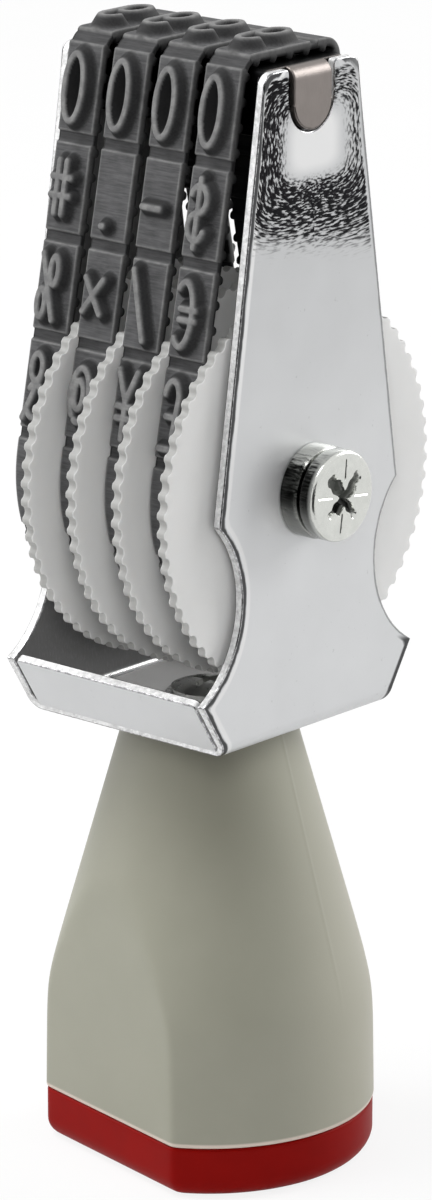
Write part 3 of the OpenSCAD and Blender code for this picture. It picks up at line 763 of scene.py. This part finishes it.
edge_rise = edge_z - axle_z
to_edge = np.hypot(edge_y, edge_rise)
slant = np.arctan2(edge_rise, edge_y) - np.arccos((loop_drum_r - loop_edge_r) / to_edge)
run_l = np.sqrt(to_edge ** 2 - (loop_drum_r - loop_edge_r) ** 2)
mid_edge_r = loop_edge_r + web_t / 2
mid_drum_r = loop_drum_r + web_t / 2
at_run = edge_y + mid_edge_r * (np.pi / 2 - slant)
at_drum = at_run + run_l
half_loop = at_drum + mid_drum_r * (np.pi / 2 + slant)
cell = 2 * half_loop / cells


def band_path(length):
    """Depth, height and outward direction of a band's web at a length from the top middle: flat
    over the bridge, round its edge, straight down the slope, then round the drum."""
    s = np.abs(length)
    stages = [s < edge_y, s < at_run, s < at_drum]
    turn = np.select(
        stages,
        [np.pi / 2 + 0 * s, np.pi / 2 + (s - edge_y) / mid_edge_r, np.pi - slant + 0 * s],
        np.pi - slant + (s - at_drum) / mid_drum_r,
    )
    round_y, round_z = np.cos(turn), np.sin(turn)
    down = np.clip(s - at_run, 0, run_l)
    on_edge_y = -np.minimum(s, edge_y) + mid_edge_r * round_y - down * np.sin(slant)
    on_edge_z = edge_z + mid_edge_r * round_z - down * np.cos(slant)
    y = np.where(s < at_drum, on_edge_y, mid_drum_r * round_y)
    z = np.where(s < at_drum, on_edge_z, axle_z + mid_drum_r * round_z)
    side = np.where(length < 0, -1.0, 1.0)
    return side * y, z, side * round_y, round_z


# Strokes of each character as it prints, in halves of its width and height. Four numbers are a
# straight stroke between two points, and six a bow: its middle, two radii and two angles.
strokes = {
    "0": [(0, 0, 1, 1, 0, 360)],
    "1": [(0.15, -1, 0.15, 1), (0.15, 1, -0.7, 0.7)],
    "2": [(0, 0.5, 1, 0.5, -20, 180), (0.94, 0.33, -1, -1), (-1, -1, 1, -1)],
    "3": [(0, 0.52, 0.95, 0.48, -90, 155), (0, -0.48, 1, 0.52, -155, 90)],
    "4": [(0.5, -1, 0.5, 1), (0.5, 1, -1, -0.4), (-1, -0.4, 1, -0.4)],
    "5": [(-0.9, 1, 0.9, 1), (-0.9, 1, -0.9, 0.1), (0, -0.4, 1, 0.6, -150, 140)],
    "6": [(0, -0.45, 1, 0.55, 0, 360), (-1, -0.45, -1, 0.45), (0, 0.45, 1, 0.55, 20, 180)],
    "7": [(-1, 1, 1, 1), (1, 1, -0.3, -1)],
    "8": [(0, 0.52, 0.85, 0.48, 0, 360), (0, -0.48, 1, 0.52, 0, 360)],
    "9": [(0, 0.45, 1, 0.55, 0, 360), (1, 0.45, 1, -0.45), (0, -0.45, 1, 0.55, -160, 0)],
    "#": [(-0.4, -0.78, -0.4, 0.78), (0.4, -0.78, 0.4, 0.78), (-1, 0.3, 1, 0.3), (-1, -0.25, 1, -0.25)],
    ".": [(-0.1, -0.9, 0.1, -0.9)],
    "-": [(-0.95, -0.1, 0.95, -0.1)],
    "$": [(0, 0.4, 0.85, 0.4, 20, 270), (0, -0.4, 0.85, 0.4, -160, 90), (0, -1, 0, 1)],
    "%": [(-0.55, 0.5, 0.42, 0.42, 0, 360), (0.55, -0.5, 0.42, 0.42, 0, 360), (-0.85, -0.95, 0.85, 0.95)],
    "x": [(-0.95, -0.5, 0.95, 0.5), (-0.95, 0.5, 0.95, -0.5)],
    "/": [(-0.9, -1, 0.9, 1)],
    "E": [(0.15, 0, 1, 0.95, 50, 310), (-1.1, 0.16, 0.45, 0.16), (-1.1, -0.16, 0.45, -0.16)],
    "&": [(0, 0.55, 0.6, 0.4, 0, 360), (-0.1, -0.45, 0.85, 0.5, 45, 330), (-0.45, 0.25, 1, -1)],
    "@": [(0, 0, 1, 0.8, -50, 290), (0.1, 0, 0.5, 0.42, 0, 360), (0.6, 0.42, 0.6, -0.35)],
    "Y": [(-1, 1, 0, 0.1), (1, 1, 0, 0.1), (0, 0.1, 0, -1), (-0.85, -0.05, 0.85, -0.05),
          (-0.85, -0.4, 0.85, -0.4)],
    "L": [(0.1, 0.5, 0.75, 0.5, 10, 180), (-0.65, 0.5, -0.4, -0.6), (-0.4, -0.6, -0.9, -1),
          (-0.9, -1, 0.9, -1), (-1, -0.05, 0.5, -0.05)],
    " ": [],
}
# Around each band from the print position, down the front and up the back.
band_texts = ["90#%& 12345678 ", "90.x@ 12345678 ", "90-/Y 12345678 ", "90$EL 12345678 "]


def stroke_line(stroke):
    """Points along a stroke in millimetres from the middle of its character."""
    if len(stroke) == 4:
        points = np.array(stroke, float).reshape(2, 2)
    else:
        middle_x, middle_y, radius_x, radius_y, start, finish = stroke
        swing = np.radians(np.linspace(start, finish, 33))
        bow = np.stack([radius_x * np.cos(swing), radius_y * np.sin(swing)], axis=-1)
        points = bow + [middle_x, middle_y]
    return points * glyph_reach


def stroke_distance(across, up, character):
    """Distance of each point from the nearest stroke of a character, by the foot on each stretch."""
    if not strokes[character]:
        return np.full(np.broadcast(across, up).shape, cell)
    lines = [stroke_line(stroke) for stroke in strokes[character]]
    start = np.concatenate([line[:-1] for line in lines])
    step = np.concatenate([np.diff(line, axis=0) for line in lines])
    point = np.stack(np.broadcast_arrays(across, up), axis=-1)[..., None, :]
    foot = np.clip(((point - start) * step).sum(-1) / (step ** 2).sum(-1), 0, 1)[..., None]
    return np.linalg.norm(point - start - foot * step, axis=-1).min(-1)


def in_bow(across, up, character):
    """True inside the closed bows of a character, by the equation of the ellipse."""
    bows = [stroke for stroke in strokes[character] if stroke[-2:] == (0, 360)]
    x, y = across / glyph_reach[0], up / glyph_reach[1]
    inside = [((x - bow[0]) / bow[2]) ** 2 + ((y - bow[1]) / bow[3]) ** 2 < 1 for bow in bows]
    return np.any(inside, axis=0)


def eased(share):
    """A slope from 0 to 1 with both its ends a little rounded."""
    share = np.clip(share, 0, 1)
    return 0.8 * share + 0.2 * share ** 2 * (3 - 2 * share)


length = (np.arange(cells * rows_per_cell) + 0.5) / rows_per_cell * cell - half_loop
rolled = (length - band_roll + half_loop) % (2 * half_loop) - half_loop
order = np.rint(rolled / cell).astype(int)
down = (rolled - order * cell)[:, None]
inset = edge_round(band_edge_r, 4)[0]
band_half = band_w / 2
width = np.sort(np.concatenate([
    inset - band_half, np.linspace(0.2 - band_half, band_half - 0.2, 46), band_half - inset,
]))
block_edge = np.minimum((cell - groove_w) / 2 - np.abs(down), band_half - np.abs(width) + 0.06)
block = eased(block_edge / block_flank_w)
# Painted shade: the grooves between blocks are painted dark, darker still at the band's sides, in the gaps
# between bands.
sunk = 0.45 + 0.5 * (np.abs(width) > band_half - 0.15)
rib_pitch = cell / ribs_per_cell
off_rib = (rolled / rib_pitch % 1 - 0.5) * rib_pitch
rib = np.sqrt(np.maximum(rib_h ** 2 - off_rib ** 2, 0))
inner_width = np.array([band_half, band_half - 0.15, 0, 0.15 - band_half, -band_half])
path_y, path_z, out_y, out_z = (part[:, None] for part in band_path(length))

rubber_finish, place = new_finish("dark_rubber")
worn_and_edge_highlight = place.mark("worn_and_edge_highlight")
low = place.mark("low")
cloud = place.noise(0.5, 3.0)
drag = place.stretch(0.12, 1.5, 1.5).noise(3.0, 4.0, 0.65)
bloom = place.noise(0.9, 4.0, 0.6).ease(0.35, 0.7)
rubber = (0.3 * cloud + 0.7 * drag).ease(0.3, 0.7).mix(linear(62, 62, 63), linear(92, 92, 93))
type_face = bloom.mix(linear(112, 112, 112), linear(138, 138, 137))
# The colour is painted dark in the painted shade of grooves, flanks and counters, and pale on worn type
# faces and the painted highlights along the blocks.
set_shader(rubber_finish, {
    "Base Color": (0.9 * low).mix((worn_and_edge_highlight * (0.6 + 0.4 * drag)).mix(rubber, type_face), linear(12, 12, 13)),
    "Roughness": 0.58 + 0.16 * drag - 0.1 * worn_and_edge_highlight,
    "Specular IOR Level": 0.22,
    "Normal": (drag + 0.4 * cloud).bump(0.3, 0.08),
})
for i in range(bands):
    relief = np.zeros((len(length), len(width)))
    hollow = np.zeros_like(relief)
    for k in np.unique(order):
        rows = order == k
        character = band_texts[i][k % cells]
        relief[rows] = stroke_distance(-width, -down[rows], character)
        hollow[rows] = in_bow(-width, -down[rows], character)
    raised = eased((face_half + flank_w - relief) / flank_w)
    # Painted shade: the counters of a character and the flanks round it are painted dark.
    shaded = np.maximum(hollow * (raised < 0.85), np.clip(4 * raised * (1 - raised), 0, shade_most))
    height = web_t / 2 + block_h * block + type_h * raised * block
    height[:, [0, -1]] = band_edge_rise
    inner = np.broadcast_to(-web_t / 2 - rib[:, None], (len(length), len(inner_width)))
    level = np.concatenate([height, inner], axis=1)
    across = np.broadcast_to(np.concatenate([width, inner_width]), level.shape)
    middle_x = first_x + i * band_pitch + band_from + band_half
    rings = np.stack([middle_x + across, path_y + level * out_y, path_z + level * out_z], axis=-1)
    # Painted highlight: a pale line along the top edge of each block, added to the worn type faces.
    block_highlight = np.exp(-((block_edge - block_flank_w) / block_highlight_w) ** 2) * (block_edge > 0)
    face_mark = np.clip((raised - 0.8) / 0.2, 0, 1)
    # The loop's inside is painted fully dark, as painted shade.
    unworn = np.zeros_like(inner)
    make_piece(
        f"rubber_band_{i + 1}", [ring_shell(rings, joined=True)],
        rubber_finish, "stamp", [f"type_band_{i + 1}"],
        marks={
            "worn_and_edge_highlight": np.concatenate([np.maximum(face_mark, block_highlight), unworn], axis=1).ravel(),
            "low": np.concatenate([np.maximum(sunk * (1 - block), shaded), unworn + 1], axis=1).ravel(),
        },
    )

# Bridge: a channel of bare stainless strip that the bands are stretched over, under the print row.
# A tongue at each end is folded down and hangs in the notch at the top of a side plate.
bridge_top_z = 121.9
bridge_t = 0.9
bridge_leg = 7.0
bridge_fold = 0.3
bridge_half_l = 12.9
bridge_half_w = edge_y + 0.75
tab_half = 2.95
tab_low_z = 114.9
tab_out = 14.25
tab_bend = 1.0
bridge_edge = 0.14
bridge_mid_z = bridge_top_z - bridge_t / 2
tab_floor = tab_out - bridge_t / 2 - tab_bend
tab_fold_end = tab_floor + tab_bend * np.pi / 2
tab_mid_l = tab_fold_end + bridge_mid_z - tab_bend - tab_low_z - tab_half
arc = np.linspace(np.pi, 0.5 * np.pi, 16)
tab_end = mirrored_end(np.stack([tab_half * np.cos(arc), tab_mid_l + tab_half * np.sin(arc)], axis=-1))
tab_rows = rows_through([tab_mid_l, tab_fold_end, tab_floor, 0], [5, 9, 5])
flat = both_ways(tongue(tab_end, lambda rows: np.full(len(rows), tab_half), tab_rows, 24)[1:])
x, z, normal_x, normal_z = trough(flat[..., 1], tab_floor, tab_bend, 0.0)
tabs = sheet_shell(
    np.stack([x, flat[..., 0], bridge_mid_z - z], axis=-1),
    np.stack([normal_x, 0 * x, -normal_z], axis=-1), bridge_t,
)
channel_floor = bridge_half_w - bridge_t / 2 - bridge_fold
channel_fold_end = channel_floor + bridge_fold * np.pi / 2
channel_end = channel_fold_end + bridge_leg - bridge_t / 2 - bridge_fold
stops = np.array([channel_floor, channel_fold_end, channel_end])
lengths = rows_through([*-stops[::-1], *stops], [4, 6, 6, 6, 4])[:, None]
along = np.linspace(-bridge_half_l, bridge_half_l, 27)
y, z, normal_y, normal_z = np.broadcast_arrays(*trough(lengths, channel_floor, bridge_fold, 0.0), along)[:4]
along = np.broadcast_to(along, y.shape)
channel = sheet_shell(
    np.stack([along, y, bridge_mid_z - z], axis=-1),
    np.stack([0 * y, normal_y, -normal_z], axis=-1), bridge_t - covering,
)
stainless_finish, place = new_finish("bare_stainless")
brushed = place.stretch(1.0, 6.0, 0.5).noise(2.2, 4.0, 0.65)
cloud = place.noise(0.35, 2.0)
steel = (0.5 * brushed + 0.5 * cloud).mix(linear(116, 110, 106), linear(146, 139, 135))
# Painted shade: the channel under the bands is painted nearly black, out to the tabs.
painted_channel_shade = (abs(place.axis("X")) - bridge_half_l).ease(0.4, -0.2)
set_shader(stainless_finish, {
    "Base Color": painted_channel_shade.mix(steel, linear(24, 24, 25)),
    "Metallic": 1.0,
    "Roughness": 0.26 + 0.2 * brushed,
    "Normal": brushed.bump(0.25, 0.05),
})
bridge = make_piece(
    "tab_bridge", [tabs, channel], stainless_finish, "stamp", ["bridge"], crease=30,
)
round_edges(bridge, bridge_edge)

# Axle screws and collars: a pan-head screw with a cross recess on each side, driven into the tube.
# A turned steel collar stands under each head and spaces it off the plate.
collar_r = 5.0
collar_t = 2.4
head_r = 4.9
head_h = 2.25
shank_r = 2.45
shank_from = 4.0
head_edge = 0.45
recess_turn = np.radians(38)
recess_deep = 1.35
head_crown = 0.06
collar_bore_r = 2.55
arm_half = 0.85
arm_taper = 0.12
arm_wall = 0.25
arm_reach = 3.2
arm_end_l = 0.6
tick_half = 0.16
tick_from = 1.6
tick_to = 4.3
tick_deep = 0.12
turned_steps = 256

around = np.linspace(0, 2 * np.pi, turned_steps, endpoint=False)


def recess(y, z):
    """Depth of the cross recess and its tick marks: four tapered arms that deepen to the middle,
    chewed by the driver in waves round them, and four fine lines between them."""
    a = y * np.cos(recess_turn) + z * np.sin(recess_turn)
    b = z * np.cos(recess_turn) - y * np.sin(recess_turn)
    far = np.maximum(np.abs(a), np.abs(b))
    near = np.minimum(np.abs(a), np.abs(b))
    facing = np.arctan2(z, y)
    chewed = 0.28 * np.sin(3 * facing + 0.6) + 0.16 * np.sin(7 * facing + 2.0) + 0.1 * np.sin(5 * far)
    arm = np.clip((arm_half + chewed - arm_taper * far - near) / arm_wall, 0, 1)
    arm_end = np.clip((arm_reach + 1.2 * chewed - far) / arm_end_l, 0, 1)
    cross = recess_deep * arm * arm_end * (1 - 0.2 * far)
    off_tick = np.abs(np.abs(a) - np.abs(b)) / np.sqrt(2)
    reach = np.hypot(y, z)
    tick_ends = np.clip((reach - tick_from) / 0.3, 0, 1) * np.clip((tick_to - reach) / 0.4, 0, 1)
    tick = np.clip(1 - off_tick / tick_half, 0, 1) * tick_ends
    return np.maximum(cross, tick_deep * tick)


def turned_rings(x, r):
    """Rings round the axle from places along it and radii."""
    x, r = np.asarray(x, float)[:, None], np.asarray(r, float)[:, None]
    return np.stack(np.broadcast_arrays(x, r * np.cos(around), axle_z + r * np.sin(around)), axis=-1)


seat = frame_half + collar_t
inset, rise = edge_round(head_edge, 7)
radii = np.linspace(head_r - head_edge, 0.05, 60)[:, None]
top_y, top_z = radii * np.cos(around), radii * np.sin(around)
top_recess = recess(top_y, top_z)
top_x = seat + head_h - head_crown * (radii / head_r) ** 2 - top_recess
screw_top = np.stack([top_x, top_y, axle_z + top_z], axis=-1)
top_edge = seat + head_h - head_crown - rise[::-1]
screw_side = turned_rings(
    [shank_from, shank_from + 0.4, seat, seat, seat + 0.15, seat + 0.5, *top_edge],
    [shank_r - 0.4, shank_r, shank_r, head_r - 0.5, head_r - 0.15, head_r, *(head_r - inset[::-1])],
)[:-1]
collar_rings = turned_rings(
    frame_half + np.array([0, 0, 0.15, collar_t - 0.7, collar_t - 0.2, collar_t - 0.02, collar_t - 0.02]),
    [collar_bore_r, collar_r - 0.15, collar_r, collar_r, collar_r - 0.2, collar_r - 0.6, collar_bore_r],
)
well_mark = np.concatenate([np.zeros(screw_side[..., 0].size), top_recess.ravel() / recess_deep])
turned_finish, place = new_finish("turned_zinc")
well = place.mark("well").ease(0.1, 0.5)
past_seat = abs(place.axis("X")) - seat
up = (place.axis("Z") - axle_z) / collar_r
lathe = place.stretch(1.0, 0.04, 0.04).noise(5.0, 3.0)
cloud = place.noise(0.8, 3.0)
pits = place.noise(2.6, 4.0, 0.65).ease(0.55, 0.75)
zinc = (0.6 * cloud + 0.4 * lathe).mix(linear(190, 192, 188), linear(226, 227, 222))
streak = place.stretch(0.3, 2.0, 2.0).noise(2.0, 3.0, 0.6)
ragged = streak - 0.5
# Painted reflection: the front of each collar and the side of the head beside it are painted dark in ragged
# streaks, for the dark surroundings they reflect.
reflection_top = (up + 0.8 * ragged).ease(0.95, 0.6)
reflection_foot = 0.6 + 0.4 * (up + 0.6 * ragged).ease(-0.6, 0.1)
side_dark_reflection = reflection_top * reflection_foot * place.axis("Y").ease(0.5, -1.0) * past_seat.ease(1.7, 1.2)
reflection_tone = streak.ease(0.35, 0.7).mix(linear(6, 7, 6), linear(72, 73, 71))
# The recess is painted a dull grey, and darker below the axle's height.
well_tone = up.ease(0.05, -0.2).mix(linear(104, 106, 102), linear(28, 29, 28))
set_shader(turned_finish, {
    "Base Color": well.mix(side_dark_reflection.mix(zinc, reflection_tone), well_tone),
    "Metallic": 1 - 0.8 * well,
    "Roughness": 0.13 + 0.12 * cloud + 0.18 * pits,
    "Normal": (lathe + 0.5 * cloud + 0.4 * pits).bump(0.22, 0.08),
})
for side, way in (("right", half_turn ** 2), ("left", half_turn)):
    make_piece(
        f"pan_screw_{side}", [ring_shell(np.concatenate([screw_side, screw_top]) * way)],
        turned_finish, "stamp", [f"axle_screw_{side}"],
        crease=35, marks={"well": well_mark},
    )
    make_piece(
        f"turned_collar_{side}", [ring_shell(collar_rings * way, joined=True)],
        turned_finish, "stamp", [f"axle_collar_{side}"], crease=25,
    )

# Studio: a pale floor under a white surround, a large soft light above and to the left of the
# camera, weaker ones at the sides and the front, and two dark cards for the bright metal to show.
azimuth = np.radians(41.203)
elevation = np.radians(16.444)
camera_far = 630 * mm
aim_right = 0.6724
aim_z = 61.733
aim = Vector((aim_right * np.cos(azimuth), aim_right * np.sin(azimuth), aim_z)) * mm
back = Vector((
    np.sin(azimuth) * np.cos(elevation), -np.cos(azimuth) * np.cos(elevation), np.sin(elevation),
))
camera = bpy.data.objects.new("camera", bpy.data.cameras.new("camera"))
camera.data.sensor_fit = "VERTICAL"
camera.data.sensor_height = 24
camera.data.lens = 117.712
camera.data.clip_start = 0.02
camera.location = aim + camera_far * back
camera.rotation_euler = back.to_track_quat("Z", "Y").to_euler()
bpy.context.scene.collection.objects.link(camera)
bpy.context.scene.camera = camera
bpy.context.scene.view_settings.view_transform = "Standard"


def flat_card(name, corners, finish):
    """A flat four-cornered stage piece."""
    mesh = bpy.data.meshes.new(name)
    mesh.from_pydata(corners, [], [(0, 1, 2, 3)])
    mesh.materials.append(finish)
    card = bpy.data.objects.new(name, mesh)
    bpy.context.scene.collection.objects.link(card)
    return card


def shown(wire):
    """1 for what the camera sees straight or in a reflection, and 0 for light that falls on things."""
    camera_ray = wire.node("ShaderNodeLightPath", {}, {}, "Is Camera Ray")
    glossy_ray = wire.node("ShaderNodeLightPath", {}, {}, "Is Glossy Ray")
    clear_ray = wire.node("ShaderNodeLightPath", {}, {}, "Is Transmission Ray")
    return camera_ray.larger(glossy_ray).larger(clear_ray)


floor_finish, place = new_finish("pale_floor")
tree = floor_finish.node_tree
speck = place.noise(0.05, 2.0)
set_shader(floor_finish, {
    "Base Color": speck.mix(linear(244, 244, 244), linear(250, 250, 250)),
    "Roughness": 0.8,
})
white = place.node("ShaderNodeEmission", {}, {"Color": (1, 1, 1, 1), "Strength": 1.0})
pale = Wire(tree, tree.nodes["Principled BSDF"].outputs[0])
blend = place.node("ShaderNodeMixShader", {}, {0: 0.85 * shown(place), 1: pale, 2: white})
tree.links.new(blend.socket, tree.nodes["Material Output"].inputs["Surface"])
floor_far = 3.0
floor_corners = floor_far * np.array([(-1, -1, 0), (1, -1, 0), (1, 1, 0), (-1, 1, 0)])
flat_card("floor", floor_corners.tolist(), floor_finish)

world = bpy.data.worlds.new("surround")
world.use_nodes = True
bpy.context.scene.world = world
sky = Wire(world.node_tree)
level = 0.25 + 0.75 * shown(sky)
sky.fill(world.node_tree.nodes["Background"], {"Color": (1, 1, 1, 1), "Strength": level})


def soft_light(name, place, size, power):
    """A square area light that faces the stamp."""
    data = bpy.data.lights.new(name, "AREA")
    data.size = size
    data.energy = power
    lamp = bpy.data.objects.new(name, data)
    lamp.location = place
    lamp.rotation_euler = (Vector(place) - aim).to_track_quat("Z", "Y").to_euler()
    bpy.context.scene.collection.objects.link(lamp)
    return lamp


soft_light("key", (-0.38, -0.46, 1.35), size=0.7, power=12)
soft_light("fill", (0.45, 1.10, 0.60), size=0.7, power=9.8)
soft_light("left", (-0.95, -0.50, 0.50), size=0.6, power=4.2)
front = soft_light("front", (0.42, -0.50, 0.40), size=0.3, power=2.2)
front.visible_glossy = False

card_finish, place = new_finish("dark_card")
nap = place.noise(0.4, 3.0)
set_shader(card_finish, {"Base Color": nap.mix(linear(26, 26, 27), linear(34, 34, 35)), "Roughness": 0.9})
low_card = flat_card("low_card", [
    (0.06, -0.16, 0.0), (0.17, -0.03, 0.0), (0.17, -0.03, 0.09), (0.06, -0.16, 0.09),
], card_finish)
camera_card = flat_card("camera_card", [
    (0.20, -0.95, 0.0), (0.80, -0.40, 0.0), (0.80, -0.40, 0.50), (0.20, -0.95, 0.50),
], card_finish)
low_card.visible_camera = False
camera_card.visible_camera = False
